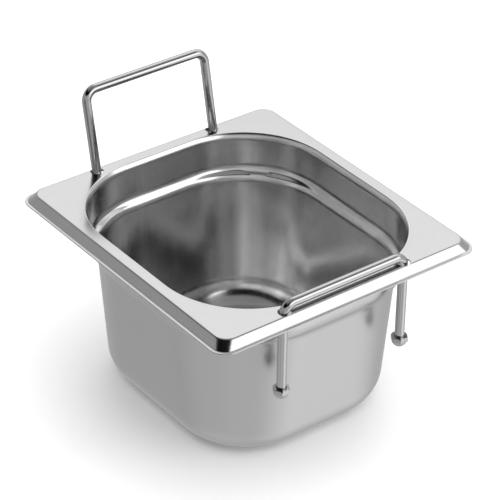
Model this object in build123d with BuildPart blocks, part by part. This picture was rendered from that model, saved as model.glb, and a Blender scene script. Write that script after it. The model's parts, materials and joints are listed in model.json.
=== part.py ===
from build123d import *
from math import cos, radians, sin
import os

# Food pan of gastronorm size 1/6, 100 mm deep, with two retractable rod handles.
# Millimetres. +Z up, +X along the handle bars, +Y from the front handle to the rear one.
# The origin is the centre of the underside of the base.

# Pan: overall size and sheet
PAN_X = 162.0
PAN_Y = 176.0
PAN_DEPTH = 100.0
SHEET = 0.7

# Rim: a flat top, an apron that slopes out and down, and a narrow level lip
APRON_DROP = 4.75
APRON_RUN = 3.05
APRON_WALL = 0.85
LIP_WIDTH = 1.65
RIM_CORNER_R = 7.2
RIM_BEND_R = 0.9

# Mouth: the line where the flat top ends and the bend into the wall begins
MOUTH_X = 140.8
MOUTH_Y = 154.8
MOUTH_CORNER_R = 50.0
MOUTH_BEND_R = 2.0

# Stacking shoulder: a sloping step in the wall, measured down from the rim
SHOULDER_TOP = 20.4
SHOULDER_BOTTOM = 25.2
SHOULDER_STEP = 3.0
SHOULDER_CORNER_R = 49.0
SHOULDER_BEND_R = 1.5

# Lower wall and base
WALL_LEAN = 0.093
BASE_CORNER_R = 40.0
BASE_BEND_R = 16.0

# Handles: a bent rod with a cap nut on each end, drawn fully lowered
ROD_D = 5.0
LEG_X = 37.7
BAR_BEND_R = 6.2
BAR_RISE = 3.6
LEG_BELOW_RIM = 44.6
NUT_FLATS = 8.0
NUT_HEX = 2.8
NUT_HEIGHT = 6.2
NUT_CHAMFER = 0.6
NUT_BORE_DEPTH = 4.4

# Handle holes and travel: each leg rides loosely in its hole and tips outward as it rises,
# so the whole travel is one swing about a far axis outside the pan
HOLE_X = 37.25
HOLE_Y = 80.2
HOLE_D = 6.7
LIFT = 41.1
LEAN_DEG = 11.8
SWING_R = LIFT / radians(LEAN_DEG)
LEG_PLAY = SWING_R * (1 - cos(radians(LEAN_DEG / 2))) / 2

# Levels and places that follow from the sizes above
RIM_TOP = PAN_DEPTH
RIM_UNDER = RIM_TOP - SHEET
LIP_TOP = RIM_TOP - APRON_DROP
LIP_UNDER = LIP_TOP - SHEET
APRON_SLOPE = APRON_RUN / APRON_DROP
APRON_X = PAN_X - 2 * LIP_WIDTH
APRON_Y = PAN_Y - 2 * LIP_WIDTH
FLAT_X = APRON_X - 2 * APRON_RUN
FLAT_Y = APRON_Y - 2 * APRON_RUN
NECK_X = MOUTH_X - 2 * MOUTH_BEND_R
NECK_Y = MOUTH_Y - 2 * MOUTH_BEND_R
NECK_R = MOUTH_CORNER_R - MOUTH_BEND_R
BAR_Z = RIM_TOP + BAR_RISE
NUT_Z = RIM_TOP - LEG_BELOW_RIM
SWING_Y = HOLE_Y + (SWING_R + LEG_PLAY) * cos(radians(LEAN_DEG / 2))
SWING_Z = RIM_TOP - SHEET / 2 - (SWING_R + LEG_PLAY) * sin(radians(LEAN_DEG / 2))
LEG_Y = SWING_Y - SWING_R


def ring(length, width, radius, z):
    """A rounded rectangle, centred on the pan, at height z."""
    with BuildSketch(Plane.XY.offset(z)) as sketch:
        RectangleRounded(length, width, radius)
    return sketch.sketch


def edges_at(part, z):
    """The edges that lie level at height z."""
    return part.edges().filter_by_position(Axis.Z, z - 0.01, z + 0.01)


def inner_edges(part, z):
    """The level edges at height z that run round the mouth."""
    level = edges_at(part, z).filter_by_position(Axis.X, -MOUTH_X / 2, MOUTH_X / 2)
    return level.filter_by_position(Axis.Y, -MOUTH_Y / 2, MOUTH_Y / 2)


def bowl(grow, top):
    """What one skin of the walls encloses, up to height top; grow moves the skin outward."""
    base_z = SHEET - grow
    shoulder_z = RIM_TOP - SHOULDER_BOTTOM
    neck_z = RIM_TOP - SHOULDER_TOP
    neck_x = NECK_X + 2 * grow
    neck_y = NECK_Y + 2 * grow
    side_x = neck_x - 2 * SHOULDER_STEP
    side_y = neck_y - 2 * SHOULDER_STEP
    side_r = SHOULDER_CORNER_R + grow
    lean = 2 * WALL_LEAN * (shoulder_z - base_z)
    neck = ring(neck_x, neck_y, NECK_R + grow, neck_z)
    side = ring(side_x, side_y, side_r, shoulder_z)
    floor = ring(side_x - lean, side_y - lean, BASE_CORNER_R + grow, base_z)
    with BuildPart() as skin:
        loft([neck, side], ruled=True)
        loft([side, floor], ruled=True)
        extrude(neck, amount=top - neck_z)
        fillet(edges_at(skin, base_z), BASE_BEND_R + grow)
        fillet(edges_at(skin, neck_z), SHOULDER_BEND_R + grow)
        fillet(edges_at(skin, shoulder_z), SHOULDER_BEND_R + SHEET - grow)
    return skin.part


def rim_hollow():
    """The space under the rim, inside its apron."""
    top_inset = 2 * (APRON_WALL - APRON_SLOPE * SHEET)
    with BuildPart() as hollow:
        upper = ring(FLAT_X - top_inset, FLAT_Y - top_inset, RIM_CORNER_R - APRON_WALL, RIM_UNDER)
        foot_inset = top_inset - 2 * APRON_SLOPE * APRON_DROP
        lower = ring(FLAT_X - foot_inset, FLAT_Y - foot_inset, RIM_CORNER_R - APRON_WALL, LIP_UNDER)
        loft([lower, upper], ruled=True)
    return hollow.part


def handle_plane(side, lift):
    """The plane of a handle's rod, with +Y up its legs; side is -1 or 1 and lift runs from 0 to 1."""
    angle = radians(lift * LEAN_DEG)
    foot = (0, side * (SWING_Y - SWING_R * cos(angle)), SWING_Z + SWING_R * sin(angle))
    return Plane(origin=foot, x_dir=(1, 0, 0), z_dir=(0, -cos(angle), side * sin(angle)))


def leg_plane(rod_plane, x, z):
    """A plane across a leg, at the height z that this place has when the handle is lowered."""
    origin = rod_plane.from_local_coords((x, z - SWING_Z, 0))
    return Plane(origin=origin, x_dir=(1, 0, 0), z_dir=rod_plane.y_dir)


def handle_rod(rod_plane):
    """A round rod with two bends and two straight legs that end inside the nuts."""
    foot = NUT_Z - NUT_BORE_DEPTH - SWING_Z
    bar = BAR_Z - SWING_Z
    with BuildPart() as rod:
        with BuildLine(rod_plane) as path:
            FilletPolyline((-LEG_X, foot), (-LEG_X, bar), (LEG_X, bar), (LEG_X, foot), radius=BAR_BEND_R)
        with BuildSketch(leg_plane(rod_plane, -LEG_X, NUT_Z - NUT_BORE_DEPTH)):
            Circle(ROD_D / 2)
        sweep(path=path.wires()[0])
    return rod.part


def cap_nut(seat):
    """A domed nut whose flat face lies on the plane seat, with a blind bore for the rod."""
    corner = NUT_FLATS / 2 / cos(radians(30))
    flat = NUT_FLATS / 2
    section = Plane(origin=seat.origin, x_dir=seat.x_dir, z_dir=-seat.y_dir)
    with BuildPart() as nut:
        with BuildSketch(seat):
            RegularPolygon(flat, 6, major_radius=False)
        extrude(amount=-NUT_HEIGHT)
        with BuildSketch(section):
            with BuildLine():
                Line((0, 0), (corner - NUT_CHAMFER, 0))
                Line((corner - NUT_CHAMFER, 0), (corner, -NUT_CHAMFER))
                Line((corner, -NUT_CHAMFER), (corner, -NUT_HEX))
                Line((corner, -NUT_HEX), (flat, -NUT_HEX))
                TangentArc((0, -NUT_HEIGHT), (flat, -NUT_HEX), tangent=(1, 0))
                Line((0, -NUT_HEIGHT), (0, 0))
            make_face()
        revolve(axis=Axis(seat.origin, seat.z_dir), mode=Mode.INTERSECT)
        with BuildSketch(seat):
            Circle(ROD_D / 2)
        extrude(amount=-NUT_BORE_DEPTH, mode=Mode.SUBTRACT)
    return nut.part


apron_foot = ring(APRON_X, APRON_Y, RIM_CORNER_R, LIP_TOP)
apron_top = ring(FLAT_X, FLAT_Y, RIM_CORNER_R, RIM_TOP)
with BuildPart() as pan:
    loft([apron_foot, apron_top], ruled=True)
    fillet(edges_at(pan, RIM_TOP), RIM_BEND_R)
    extrude(ring(PAN_X, PAN_Y, RIM_CORNER_R + LIP_WIDTH, LIP_UNDER), amount=SHEET)
    add(rim_hollow(), mode=Mode.SUBTRACT)
    add(bowl(SHEET, RIM_UNDER))
    add(bowl(0, RIM_TOP + 1), mode=Mode.SUBTRACT)
    fillet(inner_edges(pan, RIM_TOP), MOUTH_BEND_R)
    fillet(inner_edges(pan, RIM_UNDER), MOUTH_BEND_R - SHEET)
    with BuildSketch(Plane.XY.offset(RIM_TOP)):
        with GridLocations(2 * HOLE_X, 2 * HOLE_Y, 2, 2):
            Circle(HOLE_D / 2)
    extrude(amount=-3 * SHEET, mode=Mode.SUBTRACT)

front = handle_plane(-1, 0)
rear = handle_plane(1, 1)
pieces = {"pan": pan.part}
for name, rod_plane in (("front", front), ("rear", rear)):
    pieces[name + "_handle"] = handle_rod(rod_plane)
    pieces[name + "_left_nut"] = cap_nut(leg_plane(rod_plane, -LEG_X, NUT_Z))
    pieces[name + "_right_nut"] = cap_nut(leg_plane(rod_plane, LEG_X, NUT_Z))

os.makedirs("parts", exist_ok=True)
for name, piece in pieces.items():
    piece.label = name
    export_step(piece, "parts/" + name + ".step")
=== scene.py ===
import json
from collections import namedtuple
from math import asin, cos, hypot, pi, radians, sin, tan

import bmesh
import bpy
from mathutils import Matrix, Vector


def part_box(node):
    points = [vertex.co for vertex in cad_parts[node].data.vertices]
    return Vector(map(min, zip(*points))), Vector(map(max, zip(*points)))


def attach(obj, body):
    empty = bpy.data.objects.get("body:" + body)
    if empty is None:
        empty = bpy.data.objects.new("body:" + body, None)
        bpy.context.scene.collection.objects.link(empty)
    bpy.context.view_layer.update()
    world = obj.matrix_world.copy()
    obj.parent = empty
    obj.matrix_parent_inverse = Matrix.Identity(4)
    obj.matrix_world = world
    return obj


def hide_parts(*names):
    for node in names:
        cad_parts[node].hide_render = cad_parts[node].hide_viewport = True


# A deep-drawn steel food pan with a rod handle at its front and one at its rear.
# Sizes are in millimetres; MM turns them into the metres of the frame.
MM = 0.001

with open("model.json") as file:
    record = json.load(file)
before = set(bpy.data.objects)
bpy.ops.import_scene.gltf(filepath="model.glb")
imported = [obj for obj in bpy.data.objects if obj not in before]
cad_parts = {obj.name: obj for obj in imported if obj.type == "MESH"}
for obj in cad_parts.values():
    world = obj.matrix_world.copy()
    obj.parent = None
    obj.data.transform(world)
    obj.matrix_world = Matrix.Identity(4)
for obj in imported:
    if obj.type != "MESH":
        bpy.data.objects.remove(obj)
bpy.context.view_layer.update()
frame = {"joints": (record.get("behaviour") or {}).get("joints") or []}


def mm_box(node):
    """A node's lowest and highest corner in millimetres."""
    low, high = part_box(node)
    return Vector(low) / MM, Vector(high) / MM


# ---------------------------------------------------------------- sizes
pan_low, pan_high = mm_box("pan")
HALF_X = pan_high.x
HALF_Y = pan_high.y
RIM_TOP = pan_high.z
SHEET = 0.7

# Rim: a flat top, an apron that slopes out and down, a narrow level lip and a hollow underneath
RIM_CORNER_R = 7.2
RIM_BEND_R = 1.4
APRON_DROP = 4.75
APRON_RUN = 3.05
APRON_WALL = 0.85
LIP_WIDTH = 1.65
LIP_BEND_R = 0.5
LIP_EDGE_R = 0.25
HOLLOW_FOOT_R = 0.2
HOLLOW_TOP_R = 0.3

# Mouth: a tight bend turns the first MOUTH_TURN degrees and a wide one eases into the neck.
# MOUTH_ROOM keeps a short straight between the two.
NECK_INSET = 12.6
NECK_CORNER_R = 48.0
MOUTH_EDGE_R = 0.8
MOUTH_UNDER_EDGE_R = 0.24
MOUTH_EASE_R = 6.0
MOUTH_TURN = 50
MOUTH_ROOM = 1.02

# Shoulder, lower wall and base. WALL_LEAN is the wall's run for each millimetre of height, and
# BASE_RING how far the last ring on the flat of the base lies inside the foot of the wall.
SHOULDER_TOP = 20.4
SHOULDER_BOTTOM = 25.2
SHOULDER_STEP = 3.0
SHOULDER_CORNER_R = 49.0
SHOULDER_BEND_R = 9.0
WALL_LEAN = 0.093
BASE_CORNER_R = 40.0
BASE_BEND_R = 16.0
BASE_RING = 25

# Holes that the handle legs run through. Their cutter reaches CUT_PAST beyond both faces.
HOLE_X = 37.25
HOLE_Y = 80.2
HOLE_R = 3.35
HOLE_EDGE_R = 0.22
CUT_PAST = 1

# Handle rods and their cap nuts. A leg has one more ring LEG_ROW above its foot, and NUT_CRISP
# says how crisply the nut's flats meet its chamfer and dome.
ROD_R = 2.5
BAR_BEND_R = 6.2
LEG_ROW = 20
NUT_FLATS = 8.0
NUT_CHAMFER = 0.6
NUT_HEX = 2.8
NUT_HEX_SLACK = 0.2
NUT_SEAT_MARGIN = 0.5
NUT_BORE_DEPTH = 4.4
BORE_GAP = 0.06
BORE_CHAMFER = 0.3
NUT_CRISP = 60

# How finely the meshes are divided
CORNER_STEPS = 24
SIDE_STEPS = 10
ROW_GAP = 9
HIDDEN_BEND_STEPS = 3
LIP_STEPS = 4
BEND_STEPS = 6
EASE_STEPS = 10
BASE_BEND_STEPS = 18
HOLE_EDGE_STEPS = 4
ROD_STEPS = 48
BAR_BEND_STEPS = 16
NUT_STEPS = 96
NUT_CHAMFER_STEPS = 8
NUT_SIDE_STEPS = 4
NUT_DOME_STEPS = 16

# Smooth shading: edges sharper than this many degrees stay sharp, and large faces set the normals
SHARP_ANGLE = 42
LARGE_FACES_FIRST = 100

# Places of the finishes among the pan's materials; the last is near-black, painted shade
INSIDE, RIM, OUTSIDE, PAINTED_SHADE = 0, 1, 2, 3

# A station is a corner of the pan's section, with its bend; a row is one ring of the mesh
Station = namedtuple("Station", "inset z corner_r bend_r steps finish")
Row = namedtuple("Row", "inset z corner_r finish")


# ---------------------------------------------------------------- mesh helpers
def ring_points(row):
    """The points of one row: a rounded rectangle that lies its inset inside the pan's outline."""
    half_x = HALF_X - row.inset - row.corner_r
    half_y = HALF_Y - row.inset - row.corner_r
    centres = ((half_x, half_y), (-half_x, half_y), (-half_x, -half_y), (half_x, -half_y))

    def corner_point(corner, turn):
        x, y = centres[corner % 4]
        return Vector((x + row.corner_r * cos(turn), y + row.corner_r * sin(turn), row.z))

    points = []
    for corner in range(4):
        for step in range(CORNER_STEPS + 1):
            points.append(corner_point(corner, pi / 2 * (corner + step / CORNER_STEPS)))
        start = points[-1]
        stop = corner_point(corner + 1, pi / 2 * (corner + 1))
        points += [start.lerp(stop, step / SIDE_STEPS) for step in range(1, SIDE_STEPS)]
    return points


def bend_profile(stations):
    """The rows of a section whose inner stations are rounded by their own bends."""
    first, last = stations[0], stations[-1]
    rows = [Row(first.inset, first.z, first.corner_r, first.finish)]
    for before, here, after in zip(stations, stations[1:], stations[2:]):
        corner = Vector((here.inset, here.z))
        back = Vector((before.inset, before.z)) - corner
        ahead = Vector((after.inset, after.z)) - corner
        half = back.angle(ahead) / 2
        reach = here.bend_r / tan(half)
        middle = (back.normalized() + ahead.normalized()).normalized()
        centre = corner + middle * here.bend_r / sin(half)
        arm = corner + back.normalized() * reach - centre
        end_arm = corner + ahead.normalized() * reach - centre
        turn = arm.angle_signed(end_arm)
        for step in range(here.steps + 1):
            point = centre + Matrix.Rotation(-turn * step / here.steps, 2) @ arm
            corner_r = here.corner_r + corner.x - point.x
            rows.append(Row(point.x, point.y, corner_r, here.finish))
    rows.append(Row(last.inset, last.z, last.corner_r, last.finish))
    return rows


def spread(rows, gap):
    """Adds rows on the long straights, so that they lie about this far apart."""
    filled = [rows[0]]
    for start, stop in zip(rows, rows[1:]):
        parts = max(1, round(hypot(stop.inset - start.inset, stop.z - start.z) / gap))
        for part in range(1, parts + 1):
            place = [a + (b - a) * part / parts for a, b in zip(start[:3], stop[:3])]
            filled.append(Row(*place, stop.finish))
    return filled


def mesh_object(name, bm):
    """Turns a bmesh in millimetres into an object in metres with smooth faces."""
    bmesh.ops.recalc_face_normals(bm, faces=bm.faces)
    bmesh.ops.scale(bm, vec=(MM, MM, MM), verts=bm.verts)
    mesh = bpy.data.meshes.new(name)
    bm.to_mesh(mesh)
    bm.free()
    mesh.shade_smooth()
    mesh.set_sharp_from_angle(angle=radians(SHARP_ANGLE))
    obj = bpy.data.objects.new(name, mesh)
    bpy.context.scene.collection.objects.link(obj)
    return obj


def running(points):
    """Distances along a chain of points, from 0 at the first."""
    total = [0.0]
    for before, here in zip(points, points[1:]):
        total.append(total[-1] + (here - before).length)
    return total


def loft_rings(bm, rings, close_start, close_end, finishes=None, measure=0):
    """Joins rings of equally many points with quads and fans both ends to a point.

    finishes gives each ring's material index, which the band that ends at it takes. The UV layer
    "grain" holds millimetres: u around the ring that measure names, v along the section."""
    finishes = finishes or [0] * len(rings)
    layer = bm.loops.layers.uv.new("grain")
    around = running(rings[measure] + rings[measure][:1])
    along = running([ring[0] for ring in rings])
    loops = [[bm.verts.new(point) for point in ring] for ring in rings]
    count = len(loops[0])

    def patch(corners, grain, finish):
        face = bm.faces.new(corners)
        face.material_index = finish
        for loop, place in zip(face.loops, grain):
            loop[layer].uv = place

    for row, finish in enumerate(finishes[1:]):
        lower, upper = loops[row], loops[row + 1]
        for k in range(count):
            after = (k + 1) % count
            grain = [(around[k], along[row]), (around[k + 1], along[row])]
            grain += [(around[k + 1], along[row + 1]), (around[k], along[row + 1])]
            patch((lower[k], lower[after], upper[after], upper[k]), grain, finish)
    for row, tip, side in ((0, close_start, -1), (-1, close_end, 1)):
        centre = bm.verts.new(tip)
        reach = along[row] + side * (Vector(tip) - rings[row][0]).length
        for k in range(count):
            grain = [(around[k], along[row]), (around[k + 1], along[row]), (around[k], reach)]
            patch((loops[row][k], loops[row][(k + 1) % count], centre), grain, finishes[row])


def apply_modifiers(obj):
    """Replaces an object's mesh with what its modifiers make of it."""
    graph = bpy.context.evaluated_depsgraph_get()
    made = bpy.data.meshes.new_from_object(obj.evaluated_get(graph))
    obj.modifiers.clear()
    obj.data = made


def even_normals(obj):
    """Keeps flats flat next to narrow bends, by weighing each corner's faces by area."""
    weigh = obj.modifiers.new("normals", "WEIGHTED_NORMAL")
    weigh.weight = LARGE_FACES_FIRST
    weigh.keep_sharp = True


# ---------------------------------------------------------------- pan
def wall_stations(grow, edge_r, finish):
    """The mouth, neck, shoulder, lower wall and base of one skin; grow moves it outward."""
    inset = NECK_INSET - grow
    neck_r = NECK_CORNER_R + grow
    shoulder_r = SHOULDER_CORNER_R + grow
    base_r = BASE_CORNER_R + grow
    shoulder_z = RIM_TOP - SHOULDER_BOTTOM
    base_z = SHEET - grow
    side = inset + SHOULDER_STEP
    foot = side + WALL_LEAN * (shoulder_z - base_z)
    turn = radians(MOUTH_TURN)
    ease_r = MOUTH_EASE_R - grow
    reach = MOUTH_ROOM * (edge_r * tan(turn / 2) + ease_r * tan((pi / 2 - turn) / 2))
    run, drop = reach * cos(turn), reach * sin(turn)
    upper_bend = SHOULDER_BEND_R + grow
    lower_bend = SHOULDER_BEND_R + SHEET - grow
    return [
        Station(inset - run, RIM_TOP - grow, neck_r + run, edge_r, BEND_STEPS, finish),
        Station(inset, RIM_TOP - grow - drop, neck_r, ease_r, EASE_STEPS, finish),
        Station(inset, RIM_TOP - SHOULDER_TOP, neck_r, upper_bend, BEND_STEPS, finish),
        Station(side, shoulder_z, shoulder_r, lower_bend, BEND_STEPS, finish),
        Station(foot, base_z, base_r, BASE_BEND_R + grow, BASE_BEND_STEPS, finish),
        Station(foot + BASE_RING, base_z, base_r - BASE_RING, 0, 0, finish),
    ]


def rim_stations():
    """The rim from the edge of its flat top, over the apron and the lip, to the hollow's top."""
    lip_top = RIM_TOP - APRON_DROP
    lip_under = lip_top - SHEET
    lip_r = RIM_CORNER_R + LIP_WIDTH
    slope = APRON_RUN / APRON_DROP
    flat = LIP_WIDTH + APRON_RUN
    hollow_top = flat + APRON_WALL - slope * SHEET
    hollow_foot = hollow_top - slope * APRON_DROP
    under_z = RIM_TOP - SHEET
    under_r = RIM_CORNER_R - APRON_WALL
    return [
        Station(flat, RIM_TOP, RIM_CORNER_R, RIM_BEND_R, BEND_STEPS, RIM),
        Station(LIP_WIDTH, lip_top, RIM_CORNER_R, LIP_BEND_R, LIP_STEPS, RIM),
        Station(0, lip_top, lip_r, LIP_EDGE_R, LIP_STEPS, RIM),
        Station(0, lip_under, lip_r, LIP_EDGE_R, LIP_STEPS, RIM),
        # The hollow under the rim takes the near-black finish: painted shade
        Station(hollow_foot, lip_under, under_r, HOLLOW_FOOT_R, HIDDEN_BEND_STEPS, PAINTED_SHADE),
        Station(hollow_top, under_z, under_r, HOLLOW_TOP_R, HIDDEN_BEND_STEPS, PAINTED_SHADE),
    ]


def pan_profile():
    """The pan's section, from the inside of the base over the rim to the underside of the base."""
    inside = wall_stations(0, MOUTH_EDGE_R, INSIDE)[::-1]
    outside = wall_stations(SHEET, MOUTH_UNDER_EDGE_R, OUTSIDE)
    # The outer mouth bend and the bend into the neck take the near-black finish: painted shade
    outside[:2] = [station._replace(finish=PAINTED_SHADE) for station in outside[:2]]
    return spread(bend_profile(inside + rim_stations() + outside), ROW_GAP)


def hole_cutter(x, y):
    """A cutter for one handle hole, flared at both ends so that the hole's edges are rounded."""
    under = RIM_TOP - SHEET
    widest = HOLE_R + HOLE_EDGE_R
    upper = []
    lower = []
    for step in range(HOLE_EDGE_STEPS + 1):
        angle = pi / 2 * step / HOLE_EDGE_STEPS
        radius = HOLE_R + HOLE_EDGE_R * (1 - cos(angle))
        z = under + HOLE_EDGE_R * (1 - sin(angle))
        lower.insert(0, (radius, z))
        upper.append((radius, RIM_TOP + under - z))
    section = [(widest, under - CUT_PAST)] + lower + upper + [(widest, RIM_TOP + CUT_PAST)]
    rings = []
    for radius, z in section:
        turns = (2 * pi * k / ROD_STEPS for k in range(ROD_STEPS))
        rings.append([Vector((x + radius * cos(t), y + radius * sin(t), z)) for t in turns])
    bottom = (x, y, section[0][1])
    top = (x, y, section[-1][1])
    bm = bmesh.new()
    # The hole walls take the near-black finish: painted shade in the holes
    loft_rings(bm, rings, bottom, top, [PAINTED_SHADE] * len(rings))
    return mesh_object("cutter", bm)


def build_pan():
    """The pan as one closed shell, with its four handle holes cut."""
    profile = pan_profile()
    rings = [ring_points(row) for row in profile]
    mouth = next(k for k, row in enumerate(profile) if row.z > RIM_TOP - SHOULDER_TOP / 2)
    bm = bmesh.new()
    loft_rings(bm, rings, (0, 0, SHEET), (0, 0, 0), [row.finish for row in profile], mouth)
    shell = mesh_object("pan_shell", bm)
    for x in (-HOLE_X, HOLE_X):
        for y in (-HOLE_Y, HOLE_Y):
            cutter = hole_cutter(x, y)
            cut = shell.modifiers.new("hole", "BOOLEAN")
            cut.object = cutter
            cut.solver = "EXACT"
            apply_modifiers(shell)
            bpy.data.objects.remove(cutter)
    return shell


# ---------------------------------------------------------------- handles
def rod_path(leg_x, leg_y, foot_z, bar_z):
    """Rows along a handle's rod, from foot to foot: a centre and how far the rod has turned."""
    rows = [(Vector((-leg_x, leg_y, z)), 0.0) for z in (foot_z, foot_z + LEG_ROW)]
    for side, start in ((-1, 0), (1, pi / 2)):
        bend_x = side * (leg_x - BAR_BEND_R)
        for step in range(BAR_BEND_STEPS + 1):
            turn = pi / 2 * step / BAR_BEND_STEPS + start
            x = bend_x - BAR_BEND_R * cos(turn)
            z = bar_z - BAR_BEND_R + BAR_BEND_R * sin(turn)
            rows.append((Vector((x, leg_y, z)), turn))
    rows += [(Vector((leg_x, leg_y, z)), pi) for z in (foot_z + LEG_ROW, foot_z)]
    return rows


def build_rod(name, leg_x, leg_y, foot_z, bar_z):
    """A round rod with two legs and a bar."""
    path = rod_path(leg_x, leg_y, foot_z, bar_z)
    side = Vector((0, 1, 0))
    rings = []
    for centre, turn in path:
        across = Vector((-cos(turn), 0, sin(turn)))
        angles = (2 * pi * k / ROD_STEPS for k in range(ROD_STEPS))
        rings.append([centre + ROD_R * (cos(a) * across + sin(a) * side) for a in angles])
    bm = bmesh.new()
    loft_rings(bm, rings, path[0][0], path[-1][0])
    return mesh_object(name, bm)


def nut_rows(height):
    """A nut's section from its bore over its top to its foot.

    Each row has a radius, a height above the seat and whether the hexagon cuts it."""
    apothem = NUT_FLATS / 2
    corner = apothem / cos(pi / 6)
    bore = ROD_R + BORE_GAP
    rows = [
        (bore, -NUT_BORE_DEPTH - BORE_GAP, False),
        (bore, -BORE_CHAMFER, False),
        (bore + BORE_CHAMFER, 0, False),
        (apothem - NUT_SEAT_MARGIN, 0, False),
    ]
    for step in range(NUT_CHAMFER_STEPS + 1):
        part = step / NUT_CHAMFER_STEPS
        rows.append((corner - NUT_CHAMFER * (1 - part), -NUT_CHAMFER * part, True))
    for step in range(1, NUT_SIDE_STEPS + 1):
        fall = (NUT_HEX - NUT_CHAMFER) * step / NUT_SIDE_STEPS
        rows.append((corner + NUT_HEX_SLACK, -NUT_CHAMFER - fall, True))
    dome = height - NUT_HEX
    dome_r = (apothem ** 2 + dome ** 2) / (2 * dome)
    start = asin(apothem / dome_r)
    for step in range(1, NUT_DOME_STEPS):
        turn = start * (1 - step / NUT_DOME_STEPS)
        rows.append((dome_r * sin(turn), -height + dome_r * (1 - cos(turn)), True))
    return rows


def soft_least(first, second):
    """The smaller of two lengths, rounded off where they are nearly equal."""
    return (first ** -NUT_CRISP + second ** -NUT_CRISP) ** (-1 / NUT_CRISP)


def build_nut(name, x, y, seat_z, foot_z):
    """A hexagonal cap nut with a chamfered top, a domed foot and a blind bore."""
    rows = nut_rows(seat_z - foot_z)
    rings = []
    for limit, z, hexed in rows:
        ring = []
        for k in range(NUT_STEPS):
            angle = 2 * pi * k / NUT_STEPS
            side = NUT_FLATS / 2 / cos(angle % (pi / 3) - pi / 6)
            reach = soft_least(side, limit) if hexed else limit
            ring.append(Vector((x + reach * cos(angle), y + reach * sin(angle), seat_z + z)))
        rings.append(ring)
    bm = bmesh.new()
    loft_rings(bm, rings, (x, y, seat_z + rows[0][1]), (x, y, foot_z))
    return mesh_object(name, bm)


pan = build_pan()
even_normals(pan)
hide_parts("pan")
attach(pan, "pan")

# Both handles are built lowered, as the front one stands in the frame
rod_low, rod_high = mm_box("front_handle")
nut_low, nut_high = mm_box("front_left_nut")
LEG_X = rod_high.x - ROD_R
LEG_Y = -(rod_low.y + rod_high.y) / 2
BAR_Z = rod_high.z - ROD_R
FOOT_Z = rod_low.z


def build_handle(side, body, raised):
    """A rod and its two nuts; side is -1 or 1, and raised moves them from lowered to rest."""
    word = "front" if side < 0 else "rear"
    pieces = [(build_rod(word + "_rod", LEG_X, side * LEG_Y, FOOT_Z, BAR_Z), word + "_handle")]
    for hand, x in (("left", -LEG_X), ("right", LEG_X)):
        name = word + "_" + hand + "_cap_nut"
        nut = build_nut(name, x, side * LEG_Y, nut_high.z, nut_low.z)
        pieces.append((nut, word + "_" + hand + "_nut"))
    for piece, node in pieces:
        even_normals(piece)
        piece.data.transform(raised)
        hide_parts(node)
        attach(piece, body)
    return [piece for piece, node in pieces]


# The rear handle rests raised, so it is turned back from the lowered end of its joint
joint = next(j for j in frame["joints"] if j["name"] == "rear_handle_drop")
pivot = Vector(joint["pos_m"])
turn = Matrix.Rotation(radians(-joint["range_deg"][1]), 4, Vector(joint["axis"]))
raise_rear = Matrix.Translation(pivot) @ turn @ Matrix.Translation(-pivot)
front_pieces = build_handle(-1, "front_handle", Matrix.Identity(4))
rear_pieces = build_handle(1, "rear_handle", raise_rear)


# ---------------------------------------------------------------- materials
# Each finish has drawn or brushed streaks, cloudy patches, stray scratches and soft swells.
# streak is a streak's size along u and v of the grain map, and patch and swell are sizes, in
# millimetres; depths are shares of the shade; scratch_turns are degrees; heights are micrometres.
FINISHES = {
    "inside": dict(
        shade=0.72, roughness=0.21,
        streak=(0.8, 80), streak_depth=0.04, streak_height=0.2,
        patch=14, patch_depth=0.06, scratch_turns=(82, 97), swell=24, swell_height=30,
    ),
    "rim": dict(
        shade=0.53, roughness=0.18,
        streak=(70, 0.7), streak_depth=0.18, streak_height=0.8,
        patch=9, patch_depth=0.10, scratch_turns=(3, 171), swell=30, swell_height=10,
    ),
    "outside": dict(
        shade=0.54, roughness=0.32,
        streak=(1.2, 60), streak_depth=0.03, streak_height=0.2,
        patch=18, patch_depth=0.05, scratch_turns=(25,), swell=35, swell_height=20,
    ),
    # Near-black steel: painted shade under the rim and in the holes, not the steel's own tone
    "hollow": dict(
        shade=0.10, roughness=0.45,
        streak=(1.6, 20), streak_depth=0.10, streak_height=1.0,
        patch=8, patch_depth=0.20, scratch_turns=(25,), swell=20, swell_height=15,
    ),
    "rod": dict(
        shade=0.50, roughness=0.10,
        streak=(0.8, 30), streak_depth=0.12, streak_height=0.4,
        patch=6, patch_depth=0.10, scratch_turns=(88, 93), swell=12, swell_height=3,
    ),
    "nut": dict(
        shade=0.46, roughness=0.13,
        streak=(12, 0.35), streak_depth=0.25, streak_height=0.6,
        patch=3, patch_depth=0.20, scratch_turns=(4, 60), swell=4, swell_height=2,
    ),
}

# Streaks are mostly fine ones, with some that are BROAD times the size
BROAD = 5
FINE_SHARE, BROAD_SHARE = 0.6, 0.4
# A scratch shows where its noise passes from SCRATCH_START to SCRATCH_FULL
SCRATCH_SIZE = (60, 0.35)
SCRATCH_START, SCRATCH_FULL = 0.735, 0.78
SCRATCH_DARK = 0.02
SCRATCH_ROUGH = 0.015
# How much of its roughness a finish gains and loses in its streaks and patches
STREAK_ROUGH = 0.5
PATCH_ROUGH = 0.6
MICROMETRE = 0.001 * MM


def add_node(tree, kind, sockets=None, **settings):
    """Adds a shader node; sockets gives inputs, by name or place, a value or another's output."""
    made = tree.nodes.new("ShaderNode" + kind)
    for name, value in settings.items():
        setattr(made, name, value)
    for key, value in (sockets or {}).items():
        if isinstance(value, bpy.types.NodeSocket):
            tree.links.new(value, made.inputs[key])
        else:
            made.inputs[key].default_value = value
    return made


def combine(tree, operation, first, second):
    """The outcome of one sum on two outputs or values."""
    return add_node(tree, "Math", {0: first, 1: second}, operation=operation).outputs[0]


def weighted_sum(tree, start, *terms):
    """start plus every term, where a term is an output and its weight."""
    for output, weight in terms:
        start = combine(tree, "ADD", combine(tree, "MULTIPLY", output, weight), start)
    return start


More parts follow.
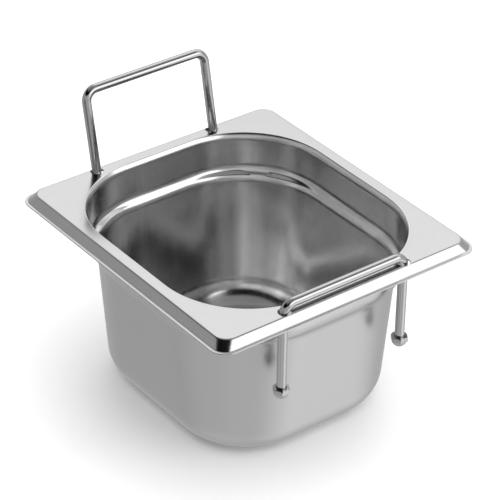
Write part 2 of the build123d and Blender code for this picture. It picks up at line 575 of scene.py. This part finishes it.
def noise(tree, place, size, detail, turn=0.0):
    """Noise whose features have this size (x, y, z) in the units of place."""
    stretch = [1 / length for length in size]
    turned = add_node(tree, "Mapping", {"Vector": place, "Rotation": (0, 0, radians(turn))})
    scaled = add_node(tree, "Mapping", {"Vector": turned.outputs[0], "Scale": stretch})
    sockets = {"Vector": scaled.outputs[0], "Scale": 1.0, "Detail": detail}
    return add_node(tree, "TexNoise", sockets).outputs[0]


def blend_range(tree, value, start, stop, low, high):
    """Maps start..stop to low..high and holds the ends."""
    sockets = {"Value": value, "From Min": start, "From Max": stop, "To Min": low, "To Max": high}
    return add_node(tree, "MapRange", sockets).outputs[0]


def streaks(tree, grain, size):
    """Fine and broad streaks along the grain, around 0."""
    across, along = size
    fine = noise(tree, grain, (across, along, 1), 3)
    broad = noise(tree, grain, (across * BROAD, along * BROAD, 1), 2)
    return weighted_sum(tree, -0.5, (fine, FINE_SHARE), (broad, BROAD_SHARE))


def scratches(tree, grain, turns):
    """Stray scratches at these angles to the grain, from 0 to 1."""
    marks = 0.0
    for turn in turns:
        hair = noise(tree, grain, (*SCRATCH_SIZE, 1), 1, turn)
        hair = blend_range(tree, hair, SCRATCH_START, SCRATCH_FULL, 0, 1)
        marks = combine(tree, "MAXIMUM", hair, marks)
    return marks


def steel(name, finish):
    """Stainless steel with one of the finishes."""
    material = bpy.data.materials.new(name)
    material.use_nodes = True
    tree = material.node_tree
    shader = tree.nodes["Principled BSDF"]
    shader.inputs["Metallic"].default_value = 1.0
    grain = add_node(tree, "UVMap", uv_map="grain").outputs[0]
    place = add_node(tree, "TexCoord").outputs["Object"]
    lines = streaks(tree, grain, finish["streak"])
    marks = scratches(tree, grain, finish["scratch_turns"])
    clouds = combine(tree, "SUBTRACT", noise(tree, place, [finish["patch"] * MM] * 3, 4), 0.5)
    swell = noise(tree, place, [finish["swell"] * MM] * 3, 1)

    tones = (lines, finish["streak_depth"]), (clouds, finish["patch_depth"])
    tone = weighted_sum(tree, 1.0, *tones, (marks, -SCRATCH_DARK))
    value = combine(tree, "MULTIPLY", tone, finish["shade"])
    colour = add_node(tree, "CombineColor", {"Red": value, "Green": value, "Blue": value})
    tree.links.new(colour.outputs[0], shader.inputs["Base Color"])

    rough = finish["roughness"]
    varied = (lines, rough * STREAK_ROUGH), (clouds, rough * PATCH_ROUGH)
    rough = weighted_sum(tree, rough, *varied, (marks, SCRATCH_ROUGH))
    tree.links.new(rough, shader.inputs["Roughness"])

    bumps = (swell, finish["swell_height"]), (lines, finish["streak_height"])
    heights = weighted_sum(tree, 0.0, *bumps)
    bump = add_node(tree, "Bump", {"Height": heights, "Strength": 1.0, "Distance": MICROMETRE})
    tree.links.new(bump.outputs[0], shader.inputs["Normal"])
    return material


finishes = {name: steel(name + "_steel", finish) for name, finish in FINISHES.items()}
for name in ("inside", "rim", "outside", "hollow"):
    pan.data.materials.append(finishes[name])
for piece in front_pieces + rear_pieces:
    piece.data.materials.append(finishes["nut" if "nut" in piece.name else "rod"])


# ---------------------------------------------------------------- floor
FLOOR_SIZE = 8
PAPER_SHADE = 0.95
PAPER_ROUGHNESS = 0.95

bpy.ops.mesh.primitive_plane_add(size=FLOOR_SIZE, location=(0, 0, 0))
floor = bpy.context.object
floor.name = "floor"
paper = bpy.data.materials.new("floor_paper")
paper.use_nodes = True
paper_shader = paper.node_tree.nodes["Principled BSDF"]
paper_shader.inputs["Base Color"].default_value = (PAPER_SHADE, PAPER_SHADE, PAPER_SHADE, 1)
paper_shader.inputs["Roughness"].default_value = PAPER_ROUGHNESS
floor.data.materials.append(paper)
# The steel mirrors the room below the horizon, not the floor, and the floor lets its light by
floor.visible_glossy = False
floor.visible_shadow = False


# ---------------------------------------------------------------- studio room
# The room glows evenly, apart from some fields that are darker or brighter. A field has its centre
# (azimuth, elevation), the angle to where it starts to fade and to its edge, all in degrees, and
# its brightness against the rest. Azimuth runs from +X towards +Y.
ROOM_GLOW = 0.6
ROOM_WHITE = (1, 1, 1, 1)
DARK_BAND_AZIMUTHS = range(130, 260, 20)
DARK_BAND_ELEVATION = 46
ROOM_FIELDS = [
    ((azimuth, DARK_BAND_ELEVATION), 11, 17, 0.03) for azimuth in DARK_BAND_AZIMUTHS
] + [
    ((-36, 51), 4, 11, 0.05),
    ((-127, 74), 20, 42, 0.44),
    ((-160, -10), 10, 32, 0.4),
    ((-62, 2), 5, 20, 1.5),
    ((150, 18), 20, 80, 0.8),
    ((-52, -40), 10, 42, 1.7),
    ((-160, -52), 15, 45, 1.25),
    ((-60, -28), 5, 14, 1.5),
]


def aim(azimuth, elevation):
    """A unit direction from two angles in degrees."""
    turn, lift = radians(azimuth), radians(elevation)
    return Vector((cos(turn) * cos(lift), sin(turn) * cos(lift), sin(lift)))


def build_room():
    """Makes the world glow and puts the fields in it."""
    world = bpy.data.worlds.new("studio")
    bpy.context.scene.world = world
    world.use_nodes = True
    tree = world.node_tree
    direction = add_node(tree, "TexCoord").outputs["Generated"]
    glow = ROOM_GLOW
    for centre, inner, outer, level in ROOM_FIELDS:
        sockets = {0: direction, 1: aim(*centre)}
        facing = add_node(tree, "VectorMath", sockets, operation="DOT_PRODUCT").outputs["Value"]
        edge, full = cos(radians(outer)), cos(radians(inner))
        field = blend_range(tree, facing, edge, full, 1, level)
        glow = combine(tree, "MULTIPLY", field, glow)
    background = tree.nodes["Background"]
    background.inputs["Color"].default_value = ROOM_WHITE
    tree.links.new(glow, background.inputs["Strength"])


build_room()


# ---------------------------------------------------------------- lights
# Each light faces LIGHT_TARGET from its (azimuth, elevation) and distance, and has a width, a
# height and a brightness that adds to the room's behind it. Distances are metres.
LIGHT_TARGET = Vector((0, 0, 0.06))
LIGHTS = {
    "back_right_light": ((44, 43), 1.4, 1.1, 0.85, 0.8),
    "front_right_light": ((-64, 26), 0.8, 0.8, 0.46, 1.35),
    "right_light": ((-8, 34), 1.4, 0.5, 0.4, 0.7),
    "floor_light": ((0, 90), 1.5, 3.0, 3.0, 1.8),
}


def add_light(name, direction, distance, width, height, brightness):
    """A soft rectangular light."""
    data = bpy.data.lights.new(name, "AREA")
    data.shape = "RECTANGLE"
    data.size = width
    data.size_y = height
    data.energy = brightness * pi * width * height
    lamp = bpy.data.objects.new(name, data)
    bpy.context.scene.collection.objects.link(lamp)
    arm = aim(*direction)
    lamp.location = LIGHT_TARGET + arm * distance
    lamp.rotation_euler = arm.to_track_quat("Z", "Y").to_euler()
    return lamp


lamps = {name: add_light(name, *values) for name, values in LIGHTS.items()}
# This one is there for the floor, so the steel doesn't mirror it
lamps["floor_light"].visible_glossy = False


# ---------------------------------------------------------------- camera
# Metres for the place, radians for the angles, millimetres for the lens and the sensor, and
# shares of the frame for the shift. The heading turns from +Y towards +X.
CAMERA_PLACE = Vector((-0.640, -0.8349, 0.7645))
HEADING = 0.655
TILT_DOWN = 0.577
ROLL = 0.016
SENSOR = 36
LENS = 175.9032
SHIFT_X = 0.00482
SHIFT_Y = -0.00262

forward = Vector((sin(HEADING) * cos(TILT_DOWN), cos(HEADING) * cos(TILT_DOWN), -sin(TILT_DOWN)))
level_right = Vector((cos(HEADING), -sin(HEADING), 0))
level_up = level_right.cross(forward)
right = cos(ROLL) * level_right + sin(ROLL) * level_up
up = -sin(ROLL) * level_right + cos(ROLL) * level_up
lens = bpy.data.cameras.new("camera")
lens.sensor_width = SENSOR
lens.lens = LENS
lens.shift_x = SHIFT_X
lens.shift_y = SHIFT_Y
camera = bpy.data.objects.new("camera", lens)
bpy.context.collection.objects.link(camera)
rotation = Matrix((right, up, -forward)).transposed().to_4x4()
camera.matrix_world = Matrix.Translation(CAMERA_PLACE) @ rotation
bpy.context.scene.camera = camera
bpy.context.scene.view_settings.view_transform = "Standard"
